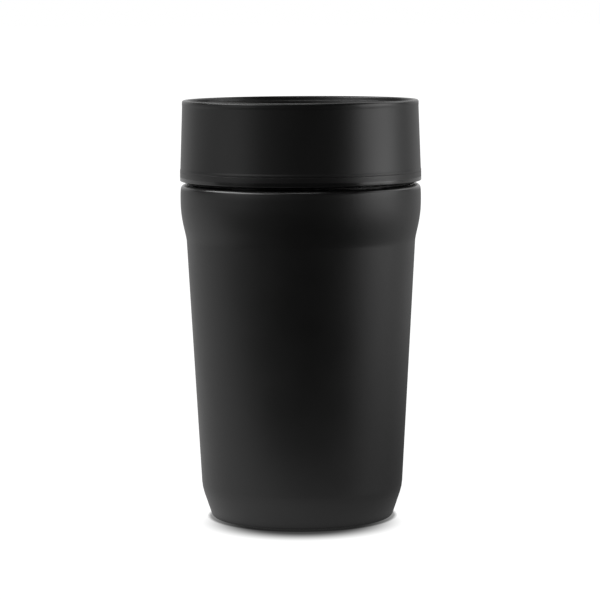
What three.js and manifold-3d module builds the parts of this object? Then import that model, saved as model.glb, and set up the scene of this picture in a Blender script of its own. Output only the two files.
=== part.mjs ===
// Insulated travel mug: a double-wall vacuum cup with a screw lid that is drunk from all round
// its rim. A push plate sits in a dish in the lid. Pressing it lowers a valve disc off its seat
// and a cam latch holds it there; the next press lets a spring pull the disc shut again.
//
// Units are millimetres. +Z is up, Z is the axis of symmetry, and the mug stands on z = 0.
// The lid is modelled screwed fully down, with the valve shut.
import * as THREE from 'three';
import { mergeVertices } from 'three/addons/utils/BufferGeometryUtils.js';
import Module from 'manifold-3d';

const wasm = await Module();
wasm.setup();

// ---------------------------------------------------------------- driving dimensions
const HEIGHT = 153;            // foot to drinking rim
const MAX_R = 44;              // lower edge of the lid, the widest place
const GAP = 0.3;               // between pieces that touch on the real mug
const RING_SEGMENTS = 36;      // round pieces wider than 60 mm
const CORE_SEGMENTS = 24;      // round pieces of the lid's mechanism
const PIN_SEGMENTS = 12;       // screws and other small round pieces

// Cup
const SHEET = 0.5;             // steel wall of the shell and the liner
const SHELL_BASE_Z = 0.3;      // the foot pad stands this far proud of the steel
const CUP_RIM_Z = 122.4;
const FOOT_R = 33.04;          // where the foot chamfer would meet z = 0
const FOOT_SLOPE = 0.34;       // millimetres of radius for each millimetre of height
const CONE_R = 36.19;          // where the side's cone would meet z = 0
const CONE_SLOPE = 0.0546;
const SHOULDER_R = 43.87;      // widest place of the cup
const SHOULDER_Z = 116.5;
const CROWN_R = 42.3;          // top of the cup's rounded rim
const RIM_SPLIT_R = 41.4;      // where the shell ends and the liner's lip begins
const VACUUM = 2.6;            // between the two walls
const LINER_FLOOR_Z = 9;
const MOUTH_R = 40.6;          // inside of the cup's neck
const FLANGE_R = 30.9;         // opening in the shell's foot that the foot pad fills

// Screw thread, three starts
const LEAD = 18;
const STARTS = 3;
const RIDGE_ARC = THREE.MathUtils.degToRad(100);
const RIDGE_STEPS = 10;
const RIDGE_RUNOUT = THREE.MathUtils.degToRad(20);
const RIDGE_CREST = 1.6;
const RIDGE_ROOT = 2.8;
const LID_RIDGE_Z = 111.9;     // middle of a lid ridge at its lower end
const RIDGE_OFFSET = 2.65;     // a cup ridge lies this far above the lid ridge that it holds
const LID_CREST_R = 40.2;
const CUP_CREST_R = 39.05;
const NECK_R = 38.6;           // outside of the lid's neck, under its thread

// Lid
const CHAMFER_Z = 123.8;       // lower edge of the lid's outside
const SKIRT_Z = 123.15;        // flat underside of the lid, above the cup's rim
const SEAM_Z = 127.05;         // top of the base, where the collar sits
const SEAM_R = 43.91;
const DRUM_TOP_R = 43.03;      // outside of the collar just under its rim
const NECK_BORE_R = 36.4;      // way for the drink through the base
const THROAT_R = 36.8;         // way for the drink through the collar
const SEAT_Z = 107;            // underside of the valve seat
const SEAT_TOP_Z = 109.6;
const SEAT_R = 30.3;           // opening of the valve seat

// Push valve, shown shut
const STROKE = 4.6;
const PLATE_R = 37;
const PLATE_TOP_Z = 147.6;
const DISC_R = 34.5;
const STEM_R = 3;
const SLEEVE_BORE_R = 5.9;
const LATCH_TOP_Z = 131.5;     // height of the latch lugs when the valve is shut
const LATCH_PERIOD = Math.PI / 2;   // the cam track repeats for each of four lugs
const LUG_R = 0.9;

// ---------------------------------------------------------------- geometry helpers

// Merges shared corners, so that the surface is closed, and drops faces that have no area.
function welded(geometry) {
  geometry.deleteAttribute('normal');
  geometry.deleteAttribute('uv');
  const merged = mergeVertices(geometry, 1e-4);
  const corners = merged.index.array;
  const kept = [];
  for (let i = 0; i < corners.length; i += 3) {
    const [a, b, c] = corners.slice(i, i + 3);
    if (a !== b && b !== c && c !== a) kept.push(a, b, c);
  }
  merged.setIndex(kept);
  return merged;
}

// Turns a closed outline of [radius, height] points about Z. An outline that begins and ends
// on the axis is left open there.
function turned(outline, segments) {
  const points = outline.map(([r, z]) => new THREE.Vector2(r, z));
  if (THREE.ShapeUtils.isClockWise(points)) points.reverse();
  const touchesAxis = points[0].x === 0 && points.at(-1).x === 0;
  if (!touchesAxis) points.push(points[0].clone());
  return welded(new THREE.LatheGeometry(points, segments).rotateX(Math.PI / 2));
}

// Points along a corner that is rounded from one point to another.
function bend(from, corner, to, steps) {
  const curve = new THREE.QuadraticBezierCurve(
    new THREE.Vector2(...from), new THREE.Vector2(...corner), new THREE.Vector2(...to));
  return curve.getPoints(steps).map((p) => [p.x, p.y]);
}

// Points along an S-shaped or free curve.
function sweep(from, pullFrom, pullTo, to, steps) {
  const curve = new THREE.CubicBezierCurve(
    new THREE.Vector2(...from), new THREE.Vector2(...pullFrom),
    new THREE.Vector2(...pullTo), new THREE.Vector2(...to));
  return curve.getPoints(steps).map((p) => [p.x, p.y]);
}

function solid(geometry) {
  return new wasm.Manifold(new wasm.Mesh({
    numProp: 3,
    vertProperties: new Float32Array(geometry.attributes.position.array),
    triVerts: new Uint32Array(geometry.index.array),
  }));
}

function fromSolid(manifold) {
  const { vertProperties, triVerts } = manifold.getMesh();
  const geometry = new THREE.BufferGeometry();
  geometry.setAttribute('position', new THREE.BufferAttribute(new Float32Array(vertProperties), 3));
  geometry.setIndex(new THREE.BufferAttribute(new Uint32Array(triVerts), 1));
  return geometry;
}

function joined(first, ...others) {
  return others.reduce((sum, next) => sum.add(solid(next)), solid(first));
}

// A plain flat ring.
function washer(innerR, outerR, low, thick, segments) {
  return turned([
    [innerR, low], [outerR, low], [outerR, low + thick], [innerR, low + thick]], segments);
}

// A box that runs outwards from the axis at an angle.
function radialBar(fromR, toR, width, lowZ, highZ, angle) {
  return welded(new THREE.BoxGeometry(toR - fromR, width, highZ - lowZ)
    .translate((fromR + toR) / 2, 0, (lowZ + highZ) / 2)
    .rotateZ(angle));
}

// One thread ridge: a trapezoid that climbs the helix and runs out into the wall at both ends.
// The crest is outside the root on the lid and inside it in the cup.
function threadRidge(rootR, crestR, startAngle, startZ) {
  const side = Math.sign(crestR - rootR);
  const buried = rootR - side * 0.4;
  const fadedCrest = rootR - side * 0.25;
  const section = new THREE.Shape([
    new THREE.Vector2(buried, -RIDGE_ROOT / 2), new THREE.Vector2(crestR, -RIDGE_CREST / 2),
    new THREE.Vector2(crestR, RIDGE_CREST / 2), new THREE.Vector2(buried, RIDGE_ROOT / 2)]);
  const geometry = new THREE.ExtrudeGeometry(section, {
    depth: RIDGE_ARC, steps: RIDGE_STEPS, bevelEnabled: false });
  const position = geometry.attributes.position;
  for (let i = 0; i < position.count; i++) {
    const along = RIDGE_ARC - position.getZ(i);
    const strength = Math.min(1, along / RIDGE_RUNOUT, (RIDGE_ARC - along) / RIDGE_RUNOUT);
    const isCrest = Math.abs(position.getX(i) - crestR) < 1e-3;
    const r = isCrest ? THREE.MathUtils.lerp(fadedCrest, crestR, strength) : position.getX(i);
    const angle = startAngle + along;
    const climb = LEAD * along / (2 * Math.PI);
    position.setXYZ(i, r * Math.cos(angle), r * Math.sin(angle), startZ + position.getY(i) + climb);
  }
  return welded(geometry);
}

function threadRidges(rootR, crestR, startZ) {
  return Array.from({ length: STARTS }, (_, start) =>
    threadRidge(rootR, crestR, start * 2 * Math.PI / STARTS, startZ));
}

// ---------------------------------------------------------------- materials
function finish(color, roughness, metalness) {
  return new THREE.MeshStandardMaterial({ color, roughness, metalness });
}

const powderCoat = finish(0x1d1d1e, 0.55, 0.1);
const lidPlastic = finish(0x202021, 0.5, 0);
const innerPlastic = finish(0x2b2b2d, 0.6, 0);
const silicone = finish(0x161617, 0.8, 0);
const clearSilicone = finish(0xb9bab8, 0.6, 0);
const steel = finish(0xb8b9bb, 0.3, 1);
const brightSteel = finish(0xcfd0d2, 0.2, 1);
const copperFoil = finish(0xb87350, 0.35, 1);
const solder = finish(0x8d9093, 0.4, 1);
const whiteAcetal = finish(0xdcdcd8, 0.5, 0);

const mug = new THREE.Group();

function addPiece(name, geometry, material) {
  const mesh = new THREE.Mesh(geometry, material);
  mesh.name = name;
  mug.add(mesh);
}

// ---------------------------------------------------------------- cup

// Radius of the cup's straight cone at a height.
function coneR(z) {
  return CONE_R + CONE_SLOPE * z;
}

// The cup's outside from its foot to its rounded rim, moved inwards by an inset. The curves get
// fewer steps on the hidden side.
function cupWall(inset, detail) {
  const footR = (z) => FOOT_R + FOOT_SLOPE * z - inset;
  const sideR = (z) => coneR(z) - inset;
  const base = SHELL_BASE_Z + inset;
  const cornerLength = 1.15;
  const chamferTop = 6.4;
  const chamferMeet = 11.03;
  const coneBottom = 15.7;
  const coneTop = 101.4;
  const rim = CUP_RIM_Z - inset;
  return [
    ...bend([footR(base) - cornerLength, base], [footR(base), base],
      [footR(base + cornerLength), base + cornerLength], detail),
    ...bend([footR(chamferTop), chamferTop], [sideR(chamferMeet), chamferMeet],
      [sideR(coneBottom), coneBottom], detail + 1),
    ...sweep([sideR(coneTop), coneTop], [sideR(coneTop + 3.2), coneTop + 3.2],
      [SHOULDER_R - inset, 108.8], [SHOULDER_R - inset, SHOULDER_Z], detail + 3),
    ...sweep([SHOULDER_R - inset, SHOULDER_Z], [SHOULDER_R - inset, rim - 2],
      [SHOULDER_R - 0.12 - inset, rim], [Math.max(CROWN_R - inset, RIM_SPLIT_R), rim],
      detail + 1).slice(1),
  ];
}

function outerShell() {
  const outside = cupWall(0, 2);
  const inside = cupWall(SHEET, 1).reverse();
  const flangeTop = SHELL_BASE_Z + SHEET;
  return turned([
    ...outside, [RIM_SPLIT_R, CUP_RIM_Z], ...inside,
    [FLANGE_R, flangeTop], [FLANGE_R, SHELL_BASE_Z]], RING_SEGMENTS);
}

// The liner's drinking side from the middle of its floor to the top of its neck, moved outwards
// by an offset.
function linerWall(offset) {
  const sideR = (z) => coneR(z) - 2 * SHEET - VACUUM + offset;
  const floor = LINER_FLOOR_Z - offset;
  const cornerStartR = 25;
  const cornerTopZ = 17;
  return [
    [0, floor],
    ...bend([cornerStartR, floor], [sideR(floor), floor], [sideR(cornerTopZ), cornerTopZ], 3),
    ...sweep([sideR(99.5), 99.5], [sideR(102.5), 102.5],
      [MOUTH_R + offset, 103.5], [MOUTH_R + offset, 108.5], 4),
  ];
}

function innerLiner() {
  const lipRound = 0.4;
  const wall = turned([
    ...linerWall(SHEET), [MOUTH_R + SHEET, CUP_RIM_Z],
    [MOUTH_R + lipRound, CUP_RIM_Z], [MOUTH_R, CUP_RIM_Z - lipRound],
    ...linerWall(0).reverse()], RING_SEGMENTS);
  const ridges = threadRidges(MOUTH_R, CUP_CREST_R, LID_RIDGE_Z + RIDGE_OFFSET);
  return fromSolid(joined(wall, ...ridges));
}

const CAP_Z = SHELL_BASE_Z + SHEET + GAP;
const DIMPLE_RISE = 1.2;
const PORT_R = 1.3;

// The disc that closes the shell's foot, pressed up in the middle round the evacuation port.
function baseCap() {
  const edgeR = FLANGE_R + 0.5;
  const dimpleR = 7;
  const top = CAP_Z + SHEET;
  return turned([
    [PORT_R, CAP_Z + DIMPLE_RISE], [dimpleR - 1, CAP_Z + DIMPLE_RISE], [dimpleR, CAP_Z],
    [edgeR, CAP_Z], [edgeR + SHEET, top],
    [dimpleR, top], [dimpleR - 1, top + DIMPLE_RISE], [PORT_R, top + DIMPLE_RISE]], RING_SEGMENTS);
}

// The bead that seals the evacuation port, drawn up into it.
function vacuumPortPlug() {
  const beadR = 2.8;
  const beadTop = CAP_Z + DIMPLE_RISE - GAP;
  return turned([
    [0, CAP_Z], [beadR - 0.5, CAP_Z], [beadR, beadTop],
    [PORT_R - GAP, beadTop], [PORT_R - GAP, CAP_Z + DIMPLE_RISE + SHEET + GAP],
    [0, CAP_Z + DIMPLE_RISE + SHEET + GAP]], CORE_SEGMENTS);
}

function footPad() {
  const edgeR = FLANGE_R - 0.4;
  const grooveR = 24;
  const top = CAP_Z - GAP;
  return turned([
    [0, 0], [grooveR, 0], [grooveR + 0.5, 0.4], [grooveR + 1.5, 0.4], [grooveR + 2, 0],
    [edgeR - 0.3, 0], [edgeR, 0.3], [edgeR, top], [0, top]], RING_SEGMENTS);
}

const GETTER_R = 4.3;
const GETTER_Z = 5.4;

function getterPellet() {
  return turned([[0, GETTER_Z], [GETTER_R, GETTER_Z], [GETTER_R, GETTER_Z + 2], [0, GETTER_Z + 2]],
    CORE_SEGMENTS);
}

// The spot-welded ring under the liner that holds the getter on a turned-in lip.
function getterClip() {
  const boreR = GETTER_R + GAP;
  const lip = GETTER_Z - GAP;
  const top = LINER_FLOOR_Z - SHEET - GAP;
  return turned([
    [boreR - 1.2, lip - 0.5], [boreR + 0.5, lip - 0.5], [boreR + 0.5, top], [boreR, top],
    [boreR, lip], [boreR - 1.2, lip]], CORE_SEGMENTS);
}

// Heat-reflecting foil in the vacuum, wrapped round the liner.
function foilWrap() {
  const innerR = (z) => coneR(z) - SHEET - VACUUM + 0.4;
  const foil = 0.3;
  const low = 19;
  const high = 98;
  return turned([
    [innerR(low), low], [innerR(low) + foil, low],
    [innerR(high) + foil, high], [innerR(high), high]], RING_SEGMENTS);
}

addPiece('outer_shell', outerShell(), powderCoat);
addPiece('inner_liner', innerLiner(), steel);
addPiece('base_cap', baseCap(), steel);
addPiece('vacuum_port_plug', vacuumPortPlug(), solder);
addPiece('foot_pad', footPad(), silicone);
addPiece('getter_pellet', getterPellet(), solder);
addPiece('getter_clip', getterClip(), brightSteel);
addPiece('foil_wrap', foilWrap(), copperFoil);

// ---------------------------------------------------------------- lid: collar and base

const SEAL_GROOVE_R = 37.1;    // inner wall of the groove for the collar's seal
const SPIGOT_R = 39.2;         // inside of the upstand that the collar snaps over
const SPIGOT_WALL = 1.4;
const COLLAR_WALL = 1.6;

// The drum with the drinking rim and the sloping dish inside it. It is hollow from below, so
// that the outside stays cool.
function drinkingCollar() {
  const foot = SEAM_Z + GAP;
  const shoulderZ = 139.6;
  const throatZ = 135;
  return turned([
    [SEAM_R - 0.01, foot], [DRUM_TOP_R, HEIGHT - 0.6],
    ...bend([DRUM_TOP_R - 0.1, HEIGHT - 0.2], [DRUM_TOP_R - 0.2, HEIGHT],
      [DRUM_TOP_R - 0.6, HEIGHT], 1),
    [42, HEIGHT], [41.5, HEIGHT - 0.5], [41.3, 151.6], [40.9, 151.3],
    [39.9, 144.5], [39.3, shoulderZ], [38.6, 137.4], [THROAT_R, throatZ], [THROAT_R, foot],
    [THROAT_R + COLLAR_WALL, foot], [THROAT_R + COLLAR_WALL, throatZ - 0.8],
    [40.2, 136.8], [40.9, shoulderZ], [41.5, 145.2], [41.65, 145.2],
    [SEAM_R - COLLAR_WALL, foot]], RING_SEGMENTS);
}

const HOUSING_R = 9.9;
const HOUSING_TOP_Z = 133.7;
const HUB_TOP_Z = 113.6;
const SLEEVE_SEAT_Z = 123.6;
const SLEEVE_R = 8.1;
const SPRING_FLOOR_Z = 111.6;

// The moulding that is welded into the foot of the lid's neck: the ring that the valve closes
// against, and four spokes that carry a hub.
function valveCage() {
  const hubR = HOUSING_R + GAP;
  const hubWall = 1.8;
  const spokeTop = 112.2;
  const seat = washer(SEAT_R, NECK_BORE_R - GAP, SEAT_Z, SEAT_TOP_Z - SEAT_Z, RING_SEGMENTS);
  const hub = washer(hubR, hubR + hubWall, SEAT_Z + 0.6, HUB_TOP_Z - SEAT_Z - 0.6, CORE_SEGMENTS);
  const spokes = [1, 3, 5, 7].map((eighth) => radialBar(hubR + hubWall - 0.8, SEAT_R + 1, 2.6,
    SEAT_Z + 0.4, spokeTop, eighth * Math.PI / 4));
  return fromSolid(joined(seat, hub, ...spokes));
}

// The tube that stands in the hub. It guides the stem and holds the spring and the latch.
function latchHousing() {
  const springBoreR = 6.4;
  const sealBoreR = 5.7;
  const flangeR = 11.6;
  const flangeZ = HUB_TOP_Z + GAP;
  const floorBottom = SPRING_FLOOR_Z - 2;
  return turned([
    [sealBoreR, SEAT_Z], [HOUSING_R, SEAT_Z], [HOUSING_R, flangeZ], [flangeR, flangeZ],
    [flangeR, flangeZ + 1.2], [HOUSING_R, flangeZ + 1.2], [HOUSING_R, HOUSING_TOP_Z],
    [SLEEVE_R + GAP, HOUSING_TOP_Z], [SLEEVE_R + GAP, SLEEVE_SEAT_Z],
    [springBoreR, SLEEVE_SEAT_Z], [springBoreR, SPRING_FLOOR_Z],
    [STEM_R + 0.4, SPRING_FLOOR_Z], [STEM_R + 0.4, floorBottom],
    [sealBoreR, floorBottom]], CORE_SEGMENTS);
}

// The lower half of the lid: band, gasket groove and threaded neck.
function threadedBase() {
  const grooveFloor = SEAM_Z - 1.25;
  const gasketCeiling = 124.5;
  const gasketGrooveR = 41.6;
  const ring = turned([
    [MAX_R, CHAMFER_Z], [SEAM_R, SEAM_Z],
    [SPIGOT_R + SPIGOT_WALL, SEAM_Z], [SPIGOT_R + SPIGOT_WALL, SEAM_Z + 4.2],
    [SPIGOT_R, SEAM_Z + 4.2], [SPIGOT_R, grooveFloor],
    [SEAL_GROOVE_R, grooveFloor], [SEAL_GROOVE_R, SEAM_Z], [NECK_BORE_R, SEAM_Z],
    [NECK_BORE_R, SEAT_Z + 0.4], [NECK_BORE_R + 0.4, SEAT_Z],
    [NECK_R - 0.6, SEAT_Z], [NECK_R, SEAT_Z + 0.6], [NECK_R, gasketCeiling],
    [gasketGrooveR, gasketCeiling], [gasketGrooveR, SKIRT_Z], [42, SKIRT_Z]], RING_SEGMENTS);
  const ridges = threadRidges(NECK_R, LID_CREST_R, LID_RIDGE_Z);
  return fromSolid(joined(ring, ...ridges));
}

// The ring that seals the lid against the cup's lip.
function neckGasket() {
  const innerR = NECK_R + GAP;
  const outerR = 41.3;
  const low = CUP_RIM_Z + GAP;
  const high = 124.2;
  return turned([
    [innerR, low], [outerR, low], [outerR, high - 0.5], [outerR - 0.5, high], [innerR, high]],
    RING_SEGMENTS);
}

// The flat ring under the collar's inner wall that keeps the drink out of the hollow drum.
function collarSeal() {
  const low = SEAM_Z - 0.95;
  return turned([
    [SEAL_GROOVE_R + GAP, low], [SPIGOT_R - GAP, low],
    [SPIGOT_R - GAP, SEAM_Z], [SEAL_GROOVE_R + GAP, SEAM_Z]], RING_SEGMENTS);
}

addPiece('drinking_collar', drinkingCollar(), lidPlastic);
addPiece('threaded_base', threadedBase(), lidPlastic);
addPiece('valve_cage', valveCage(), innerPlastic);
addPiece('latch_housing', latchHousing(), innerPlastic);
addPiece('neck_gasket', neckGasket(), silicone);
addPiece('collar_seal', collarSeal(), silicone);

// ---------------------------------------------------------------- lid: push valve

const SCREW_SHANK_R = 1.2;
const SCREW_HEAD_R = 2.8;
const SCREW_HEAD = 1.7;
const SCREW_HOLE_R = 1.8;
const STEM_TOP_Z = 142.7;
const STEM_FOOT_Z = 104.9;
const SOCKET_R = STEM_R + GAP;
const WEB = 1.4;               // plate and disc thickness under a screw's head
const RECESS_FLOOR_Z = 146.6;  // seat of the thumb pad
const PAD_R = 12.5;

// The plate that is pressed. The drink rises through the gap round its edge.
function pushPlate() {
  const underside = 145.6;
  const bossR = 6;
  const bossFoot = 140.2;
  const webFoot = STEM_TOP_Z + GAP;
  const plate = turned([
    [SCREW_HOLE_R, webFoot], [SOCKET_R, webFoot], [SOCKET_R, bossFoot], [bossR, bossFoot],
    [bossR, underside], [35, underside], [35.4, 144.4], [36.4, 144.4], [PLATE_R, 145.2],
    ...bend([PLATE_R, 146.5], [PLATE_R, 147.3], [PLATE_R - 1, 147.3], 2),
    [PAD_R + GAP, PLATE_TOP_Z], [PAD_R + GAP, RECESS_FLOOR_Z],
    [SCREW_HEAD_R + 0.5, RECESS_FLOOR_Z], [SCREW_HEAD_R + 0.5, webFoot + WEB],
    [SCREW_HOLE_R, webFoot + WEB]], RING_SEGMENTS);
  const ribs = [0, 1, 2, 3, 4, 5].map((sixth) =>
    radialBar(bossR - 0.8, 34, 1.4, 143.6, underside + 0.4, sixth * Math.PI / 3));
  return fromSolid(joined(plate, ...ribs));
}

function thumbPad() {
  const low = RECESS_FLOOR_Z + GAP;
  const dish = 0.3;
  return turned([
    [0, low], [PAD_R, low], [PAD_R, low + 0.8], [PAD_R - 0.6, low + 1.1],
    [PAD_R * 0.6, low + 1.1 - dish / 2], [0, low + 1.1 - dish]], CORE_SEGMENTS);
}

// A pan-head screw on the axis. Its head's flat side is at seatZ, and the shank runs from there
// in the direction of the sign.
function stemScrew(seatZ, direction) {
  const tip = seatZ + direction * 9.5;
  const crown = seatZ - direction * SCREW_HEAD;
  const edge = seatZ - direction * (SCREW_HEAD - 0.6);
  return turned([
    [0, tip], [SCREW_SHANK_R * 0.4, tip], [SCREW_SHANK_R, tip - direction * 1.2],
    [SCREW_SHANK_R, seatZ], [SCREW_HEAD_R, seatZ], [SCREW_HEAD_R, edge],
    [SCREW_HEAD_R - 0.8, crown], [0, crown]], PIN_SEGMENTS);
}

// The stem, with a pilot hole for a screw at each end and a collar that rests on the latch rotor.
function valveStem() {
  const pilotR = SCREW_SHANK_R + 0.35;
  const pilotDepth = 10;
  const collarR = 4.7;
  const collarZ = 133.7;
  return turned([
    [0, STEM_FOOT_Z + pilotDepth], [pilotR, STEM_FOOT_Z + pilotDepth], [pilotR, STEM_FOOT_Z],
    [STEM_R, STEM_FOOT_Z], [STEM_R, collarZ], [collarR, collarZ], [collarR, collarZ + 1],
    [STEM_R, collarZ + 1], [STEM_R, STEM_TOP_Z], [pilotR, STEM_TOP_Z],
    [pilotR, STEM_TOP_Z - pilotDepth], [0, STEM_TOP_Z - pilotDepth]], CORE_SEGMENTS);
}

const DISC_Z = 103.2;
const DISC_THICK = 2;

function valveDisc() {
  const hubTop = SEAT_Z - 0.4;
  return turned([
    [SCREW_HOLE_R, DISC_Z], [DISC_R, DISC_Z], [DISC_R, DISC_Z + DISC_THICK],
    [6.4, DISC_Z + DISC_THICK], [5.4, hubTop], [SOCKET_R, hubTop],
    [SOCKET_R, DISC_Z + WEB], [SCREW_HOLE_R, DISC_Z + WEB]], RING_SEGMENTS);
}

// The silicone ring gripped on the disc's edge, whose upper face meets the seat.
function valveSeal() {
  const top = SEAT_Z - GAP;
  const lowInside = DISC_Z - GAP;
  const highInside = DISC_Z + DISC_THICK + GAP;
  const wall = DISC_R + GAP;
  return turned([
    [32.6, lowInside - 0.8], [wall + 1, lowInside - 0.8], [wall + 1, top - 0.8],
    [wall + 0.4, top], [31.4, top], [31.4, highInside], [wall, highInside],
    [wall, lowInside], [32.6, lowInside]], RING_SEGMENTS);
}

const DISC_WASHER_Z = DISC_Z - GAP - 0.7;

addPiece('push_plate', pushPlate(), lidPlastic);
addPiece('thumb_pad', thumbPad(), silicone);
addPiece('plate_screw', stemScrew(STEM_TOP_Z + 2 * GAP + WEB, -1), brightSteel);
addPiece('valve_stem', valveStem(), whiteAcetal);
addPiece('valve_disc', valveDisc(), innerPlastic);
addPiece('valve_seal', valveSeal(), clearSilicone);
addPiece('disc_washer', washer(SCREW_SHANK_R + GAP, 5, DISC_WASHER_Z, 0.7, CORE_SEGMENTS),
  brightSteel);
addPiece('disc_screw', stemScrew(DISC_WASHER_Z - GAP, 1), brightSteel);
addPiece('stem_seal', washer(SOCKET_R, 5.3, SEAT_Z + 0.4, 1.8, CORE_SEGMENTS), clearSilicone);

// ---------------------------------------------------------------- lid: latch and spring

// Height of the cam track's middle: it falls by the stroke in an eighth of a turn and climbs back
// in the next, so each press turns the rotor one eighth.
function trackZ(angle) {
  const phase = THREE.MathUtils.euclideanModulo(angle, LATCH_PERIOD) / LATCH_PERIOD;
  const fallen = 1 - Math.abs(1 - 2 * phase);
  return LATCH_TOP_Z - STROKE * fallen;
}

// The zigzag groove in the bore of the cam sleeve, as the solid that is cut away.
function camTrack() {
  const halfWidth = 1.9;
  const ring = turned([
    [SLEEVE_BORE_R - 0.6, -halfWidth], [7.2, -halfWidth], [7.2, halfWidth],
    [SLEEVE_BORE_R - 0.6, halfWidth]], CORE_SEGMENTS);
  const position = ring.attributes.position;
  for (let i = 0; i < position.count; i++) {
    const angle = Math.atan2(position.getY(i), position.getX(i));
    const nearest = Math.round(angle / (Math.PI / 12)) * (Math.PI / 12);
    position.setZ(i, position.getZ(i) + trackZ(nearest));
  }
  return ring;
}

function camSleeve() {
  const flangeZ = HOUSING_TOP_Z + GAP;
  const sleeve = turned([
    [SLEEVE_BORE_R, SLEEVE_SEAT_Z + GAP], [SLEEVE_R, SLEEVE_SEAT_Z + GAP],
    [SLEEVE_R, flangeZ], [HOUSING_R - 0.2, flangeZ], [HOUSING_R - 0.2, flangeZ + 1],
    [SLEEVE_BORE_R, flangeZ + 1]], CORE_SEGMENTS);
  return fromSolid(solid(sleeve).subtract(solid(camTrack())));
}

// The ring on the stem whose four lugs run in the cam track.
function latchRotor() {
  const ringR = 5.45;
  const low = LATCH_TOP_Z - 1.8;
  const ring = washer(STEM_R + 0.35, ringR, low, 3.6, CORE_SEGMENTS);
  const lugs = [0, 1, 2, 3].map((quarter) => welded(
    new THREE.CylinderGeometry(LUG_R, LUG_R, 2, PIN_SEGMENTS)
      .rotateZ(Math.PI / 2)
      .translate(ringR + 0.45, 0, LATCH_TOP_Z)
      .rotateZ(quarter * LATCH_PERIOD)));
  return fromSolid(joined(ring, ...lugs));
}

const SPRING_WASHER_Z = LATCH_TOP_Z - 1.8 - 0.4 - 0.8;

class CoilCurve extends THREE.Curve {
  constructor(radius, turns, low, high) {
    super();
    Object.assign(this, { radius, turns, low, high });
  }

  getPoint(t, target = new THREE.Vector3()) {
    const angle = t * this.turns * 2 * Math.PI;
    return target.set(this.radius * Math.cos(angle), this.radius * Math.sin(angle),
      THREE.MathUtils.lerp(this.low, this.high, t));
  }
}

// The compression spring between the housing's floor and the spring washer.
function returnSpring() {
  const wireR = 0.5;
  const turns = 5;
  const low = SPRING_FLOOR_Z + GAP + wireR;
  const high = SPRING_WASHER_Z - GAP - wireR;
  const section = new THREE.Shape(new THREE.Path()
    .absarc(0, 0, wireR, 0, 2 * Math.PI).getPoints(3).slice(0, -1));
  return welded(new THREE.ExtrudeGeometry(section, {
    steps: turns * 12, bevelEnabled: false, extrudePath: new CoilCurve(4.7, turns, low, high) }));
}

addPiece('cam_sleeve', camSleeve(), whiteAcetal);
addPiece('latch_rotor', latchRotor(), innerPlastic);
addPiece('spring_washer', washer(SOCKET_R, 5.5, SPRING_WASHER_Z, 0.8, CORE_SEGMENTS), brightSteel);
addPiece('return_spring', returnSpring(), brightSteel);

export default mug;
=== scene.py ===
"""Insulated travel mug: the looks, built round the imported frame.

Outlines are in millimetres, as radius and height. Every piece is turned about Z in the frame's
own place, and sizes that the frame holds are read from it.
"""
import math

import bmesh
import bpy
from mathutils import Matrix, Vector

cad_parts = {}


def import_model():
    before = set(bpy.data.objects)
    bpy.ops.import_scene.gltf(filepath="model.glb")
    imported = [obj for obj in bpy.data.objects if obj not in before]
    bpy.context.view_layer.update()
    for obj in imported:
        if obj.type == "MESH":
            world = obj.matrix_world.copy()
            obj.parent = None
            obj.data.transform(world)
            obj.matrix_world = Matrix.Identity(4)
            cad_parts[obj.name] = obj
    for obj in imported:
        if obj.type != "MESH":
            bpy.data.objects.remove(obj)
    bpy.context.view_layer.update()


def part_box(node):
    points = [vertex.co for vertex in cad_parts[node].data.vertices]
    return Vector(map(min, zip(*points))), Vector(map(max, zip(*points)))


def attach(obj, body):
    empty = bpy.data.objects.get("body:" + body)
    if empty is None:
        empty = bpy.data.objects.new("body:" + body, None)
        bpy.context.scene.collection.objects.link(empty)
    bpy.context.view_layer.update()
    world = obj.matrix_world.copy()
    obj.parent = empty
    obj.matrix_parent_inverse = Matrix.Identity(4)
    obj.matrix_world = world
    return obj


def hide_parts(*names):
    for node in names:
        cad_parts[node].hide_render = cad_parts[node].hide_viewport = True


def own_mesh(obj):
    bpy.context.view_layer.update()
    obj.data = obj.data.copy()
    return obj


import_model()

MM = 0.001
WIDE_SEGMENTS = 256      # pieces wider than 60 mm
CORE_SEGMENTS = 96       # narrower pieces
ARC_STEP = math.radians(11)
HARD_EDGE = 40           # degrees between two faces from which their edge stays hard
GAP = 0.3                # kept between pieces that touch on a real mug
SAME = 1e-6              # numbers nearer than this are the same
ON_WALL = 1e-3           # outlines hold 32-bit floats, so a radius is matched this closely


# ------------------------------------------------------------------ sizes from the frame
def low(node):
    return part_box(node)[0].z / MM


def top(node):
    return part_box(node)[1].z / MM


def reach(node):
    """Greatest radius of a node."""
    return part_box(node)[1].x / MM


# ------------------------------------------------------------------ outlines
def rounded(*corners):
    """An outline through (radius, height) corners. A third number rounds that corner with an arc
    of that radius, or of less where the next corner is near. A list is a run of such corners."""
    flat = []
    for corner in corners:
        flat.extend(corner if isinstance(corner, list) else [corner])
    points = []
    for i, corner in enumerate(flat):
        here = Vector(corner[:2])
        radius = corner[2] if len(corner) > 2 else 0
        if not radius:
            points.append(here)
            continue
        before = Vector(flat[i - 1][:2]) - here
        after = Vector(flat[(i + 1) % len(flat)][:2]) - here
        half = before.angle(after) / 2
        cut = min(radius / math.tan(half), 0.49 * before.length, 0.49 * after.length)
        radius = cut * math.tan(half)
        inwards = (before.normalized() + after.normalized()).normalized()
        centre = here + inwards * radius / math.sin(half)
        start = here + before.normalized() * cut - centre
        end = here + after.normalized() * cut - centre
        turn = math.atan2(start.x * end.y - start.y * end.x, start.dot(end))
        steps = max(2, math.ceil(abs(turn) / ARC_STEP))
        points += [centre + Matrix.Rotation(turn * k / steps, 2) @ start for k in range(steps + 1)]
    return points


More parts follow.
